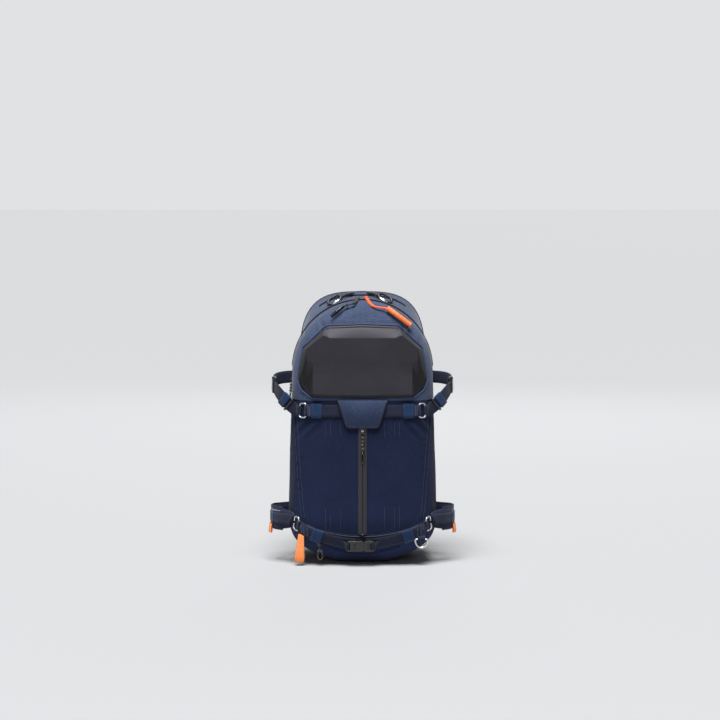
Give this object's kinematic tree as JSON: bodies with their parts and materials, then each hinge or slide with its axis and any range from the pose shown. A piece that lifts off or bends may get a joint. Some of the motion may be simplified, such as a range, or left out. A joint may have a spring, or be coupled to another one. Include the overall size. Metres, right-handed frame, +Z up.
{
  "type": "ski backpack",
  "caption": "Ski touring backpack with an arched body, a moulded lid on the top pocket, hooked ski straps, zips with pulls and a padded harness.",
  "frame": {"origin": "the middle of the flat base that the pack stands on", "axes": "+Z up, +X to the right of someone who looks at the pack's outer face, +Y to the wearer's back"},
  "size_m": [0.372, 0.3476, 0.5442],
  "materials": {
    "navy_fabric": "matte",
    "moulded_foam": "matte",
    "navy_webbing": "matte",
    "harness_mesh": "matte",
    "buckle_plastic": "satin",
    "zip_tape": "matte",
    "zip_slider": "satin",
    "pull_cord": "matte",
    "orange_slider": "satin",
    "orange_pull": "satin",
    "orange_webbing": "matte",
    "hook_steel": "polished",
    "stay_aluminium": "satin",
    "sheet_plastic": "satin"
  },
  "bodies": {
    "pack": {"base_bag": "navy_fabric", "front_bag": "navy_fabric", "main_bag": "navy_fabric", "frame_sheet": "sheet_plastic", "frame_stay": "stay_aluminium", "back_pad": "harness_mesh", "front_strap": "navy_webbing", "strap_flap": "navy_fabric", "base_strap_left": "navy_webbing", "base_strap_right": "navy_webbing", "side_strap_left": "navy_webbing", "side_buckle_left": "buckle_plastic", "side_strap_right": "navy_webbing", "side_buckle_right": "buckle_plastic", "ski_loop_left": "navy_fabric", "ski_loop_right": "navy_fabric", "buckle_socket": "buckle_plastic", "axe_loop": "orange_webbing", "haul_loop": "navy_webbing", "front_zip_tape": "zip_tape", "main_zip_tape": "zip_tape", "shoulder_web_left": "navy_webbing", "shoulder_web_right": "navy_webbing"},
    "main_lid": {"main_lid": "navy_fabric"},
    "front_lid": {"eva_panel": "moulded_foam", "lid_shell": "navy_fabric"},
    "front_left_slider": {"front_left_slider": "zip_slider"},
    "front_left_pull": {"front_left_pull": "pull_cord"},
    "front_right_slider": {"front_right_slider": "orange_slider"},
    "front_right_pull": {"front_right_pull": "orange_pull"},
    "hook_upper_left": {"hook_upper_left": "hook_steel"},
    "hook_lower_left": {"hook_lower_left": "hook_steel"},
    "hook_upper_right": {"hook_upper_right": "hook_steel"},
    "hook_lower_right": {"hook_lower_right": "hook_steel"},
    "buckle_plug": {"buckle_plug": "buckle_plastic"},
    "gear_ring": {"gear_ring": "hook_steel"},
    "main_left_slider": {"main_left_slider": "zip_slider"},
    "main_left_pull": {"main_left_pull": "pull_cord"},
    "main_right_slider": {"main_right_slider": "zip_slider"},
    "main_right_pull": {"main_right_pull": "pull_cord"},
    "centre_slider": {"centre_slider": "zip_slider"},
    "centre_pull": {"centre_pull": "pull_cord"},
    "side_slider": {"side_slider": "zip_slider"},
    "side_pull": {"side_pull": "pull_cord"},
    "base_slider": {"base_slider": "zip_slider"},
    "base_pull": {"base_pull": "pull_cord"},
    "shoulder_left": {"shoulder_strap_left": "harness_mesh", "strap_buckle_left": "buckle_plastic"},
    "sternum_left": {"sternum_web_left": "navy_webbing"},
    "sternum_plug": {"sternum_plug": "buckle_plastic"},
    "shoulder_right": {"shoulder_strap_right": "harness_mesh", "strap_buckle_right": "buckle_plastic"},
    "sternum_right": {"sternum_web_right": "navy_webbing", "sternum_socket": "buckle_plastic"},
    "hip_left": {"hip_wing_left": "harness_mesh", "hip_web_left": "navy_webbing", "hip_plug": "buckle_plastic"},
    "hip_right": {"hip_wing_right": "harness_mesh", "hip_web_right": "navy_webbing", "hip_socket": "buckle_plastic"}
  },
  "joints": [
    {"name": "main_lid_fold", "type": "hinge", "parent": "pack", "child": "main_lid", "pos_m": [0, 0.043, 0.54116], "axis": [-1, 0, 0], "range_deg": [0, 65]},
    {"name": "front_lid_fold", "type": "hinge", "parent": "pack", "child": "front_lid", "pos_m": [0, -0.12634, 0.332], "axis": [1, 0, 0], "range_deg": [0, 80]},
    {"name": "front_left_zip", "type": "hinge", "parent": "front_lid", "child": "front_left_slider", "pos_m": [0, -0.05, 0.387], "axis": [0, 1, 0], "range_deg": [-60, 0]},
    {"name": "front_left_pull_swing", "type": "hinge", "parent": "front_left_slider", "child": "front_left_pull", "pos_m": [-0.00944, -0.0552, 0.53359], "axis": [-1, 0, 0], "range_deg": [0, 70]},
    {"name": "front_right_zip", "type": "hinge", "parent": "front_lid", "child": "front_right_slider", "pos_m": [0, -0.05, 0.387], "axis": [0, 1, 0], "range_deg": [0, 42]},
    {"name": "front_right_pull_swing", "type": "hinge", "parent": "front_right_slider", "child": "front_right_pull", "pos_m": [0.00727, -0.0552, 0.53372], "axis": [-1, 0, 0], "range_deg": [0, 70]},
    {"name": "hook_upper_left_swing", "type": "hinge", "parent": "pack", "child": "hook_upper_left", "pos_m": [-0.11344, -0.10893, 0.31122], "axis": [0.0374, 0.059, 0.9976], "range_deg": [0, 60]},
    {"name": "hook_lower_left_swing", "type": "hinge", "parent": "pack", "child": "hook_lower_left", "pos_m": [-0.12864, -0.11534, 0.0817], "axis": [0.1368, -0.2772, 0.951], "range_deg": [0, 60]},
    {"name": "hook_upper_right_swing", "type": "hinge", "parent": "pack", "child": "hook_upper_right", "pos_m": [0.11344, -0.10893, 0.31122], "axis": [0.0374, -0.059, -0.9976], "range_deg": [0, 60]},
    {"name": "hook_lower_right_swing", "type": "hinge", "parent": "pack", "child": "hook_lower_right", "pos_m": [0.12864, -0.11534, 0.0817], "axis": [0.1368, 0.2772, -0.951], "range_deg": [0, 60]},
    {"name": "buckle_release", "type": "slide", "parent": "pack", "child": "buckle_plug", "axis": [1, 0, 0], "range_m": [0, 0.02]},
    {"name": "gear_ring_swing", "type": "hinge", "parent": "pack", "child": "gear_ring", "pos_m": [0.118, -0.12244, 0.053], "axis": [-1, 0, 0], "range_deg": [0, 80]},
    {"name": "main_left_zip", "type": "hinge", "parent": "pack", "child": "main_left_slider", "pos_m": [0, 0.008, 0.33396], "axis": [0, 1, 0], "range_deg": [-16, 0]},
    {"name": "main_left_pull_swing", "type": "hinge", "parent": "main_left_slider", "child": "main_left_pull", "pos_m": [-0.02051, 0.0028, 0.54033], "axis": [-1, 0, 0], "range_deg": [0, 60]},
    {"name": "main_right_zip", "type": "hinge", "parent": "pack", "child": "main_right_slider", "pos_m": [0, 0.008, 0.33396], "axis": [0, 1, 0], "range_deg": [0, 18]},
    {"name": "main_right_pull_swing", "type": "hinge", "parent": "main_right_slider", "child": "main_right_pull", "pos_m": [0.01232, 0.0028, 0.54099], "axis": [-1, 0, 0], "range_deg": [0, 60]},
    {"name": "centre_zip", "type": "slide", "parent": "pack", "child": "centre_slider", "axis": [0, -0.0772, -0.997], "range_m": [0, 0.14]},
    {"name": "centre_pull_swing", "type": "hinge", "parent": "centre_slider", "child": "centre_pull", "pos_m": [0, -0.12662, 0.26168], "axis": [-1, 0, 0], "range_deg": [0, 80]},
    {"name": "side_zip", "type": "slide", "parent": "pack", "child": "side_slider", "axis": [-0.032, 0, -0.9995], "range_m": [0, 0.12]},
    {"name": "side_pull_swing", "type": "hinge", "parent": "side_slider", "child": "side_pull", "pos_m": [-0.14449, -0.03, 0.3593], "axis": [0, 1, 0], "range_deg": [0, 50]},
    {"name": "base_zip", "type": "hinge", "parent": "pack", "child": "base_slider", "pos_m": [0, -0.12294, 0.204], "axis": [0, -1, 0], "range_deg": [0, 50]},
    {"name": "base_pull_swing", "type": "hinge", "parent": "base_slider", "child": "base_pull", "pos_m": [-0.08568, -0.12494, 0.03726], "axis": [-1, 0, 0], "range_deg": [0, 70]},
    {"name": "shoulder_left_swing", "type": "hinge", "parent": "pack", "child": "shoulder_left", "pos_m": [0, 0.0718, 0.47], "axis": [1, 0, 0], "range_deg": [0, 22]},
    {"name": "sternum_left_slide", "type": "slide", "parent": "shoulder_left", "child": "sternum_left", "axis": [0, 0, 1], "range_m": [-0.035, 0.035]},
    {"name": "sternum_release", "type": "slide", "parent": "sternum_left", "child": "sternum_plug", "axis": [-1, 0, 0], "range_m": [0, 0.018]},
    {"name": "shoulder_right_swing", "type": "hinge", "parent": "pack", "child": "shoulder_right", "pos_m": [0, 0.0718, 0.47], "axis": [1, 0, 0], "range_deg": [0, 22]},
    {"name": "sternum_right_slide", "type": "slide", "parent": "shoulder_right", "child": "sternum_right", "axis": [0, 0, 1], "range_m": [-0.035, 0.035]},
    {"name": "hip_left_swing", "type": "hinge", "parent": "pack", "child": "hip_left", "pos_m": [-0.104, 0.0744, 0.088], "axis": [0, 0, 1], "range_deg": [0, 35]},
    {"name": "hip_right_swing", "type": "hinge", "parent": "pack", "child": "hip_right", "pos_m": [0.104, 0.0744, 0.088], "axis": [0, 0, -1], "range_deg": [0, 35]}
  ],
  "couplings": [
    {"joint": "shoulder_right_swing", "follows": "shoulder_left_swing", "ratio": 1},
    {"joint": "sternum_right_slide", "follows": "sternum_left_slide", "ratio": 1}
  ]
}
